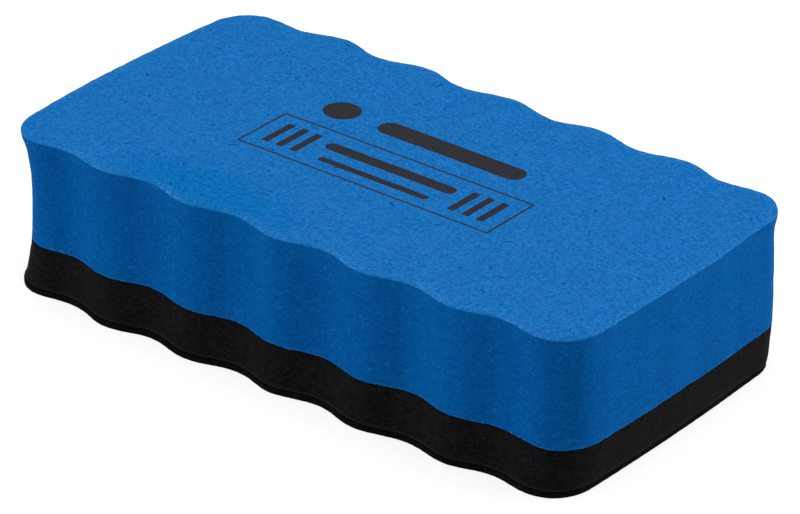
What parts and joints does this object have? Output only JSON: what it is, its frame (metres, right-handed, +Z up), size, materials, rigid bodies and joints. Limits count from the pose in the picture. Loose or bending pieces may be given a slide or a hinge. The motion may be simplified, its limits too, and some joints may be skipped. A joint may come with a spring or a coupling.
{
  "type": "whiteboard eraser",
  "caption": "Magnetic dry-wipe board eraser: scalloped foam grip block on a foam slab that holds disc magnets, with a felt wiping layer underneath.",
  "frame": {"origin": "centre of the bounding box at the wiping face, which lies on Z = 0", "axes": "+X along the length, +Y across the width, +Z up from the wiping face to the gripped top"},
  "size_m": [0.1101, 0.0618, 0.027],
  "materials": {
    "blue_foam": "matte",
    "black_foam": "matte",
    "felt": "matte",
    "glue": "satin",
    "ferrite": "satin"
  },
  "bodies": {
    "root": {"upper_foam_block": "blue_foam", "upper_glue_layer": "glue", "lower_foam_slab": "black_foam", "magnet_left": "ferrite", "magnet_right": "ferrite", "lower_glue_layer": "glue", "wiping_felt": "felt"}
  },
  "joints": []
}
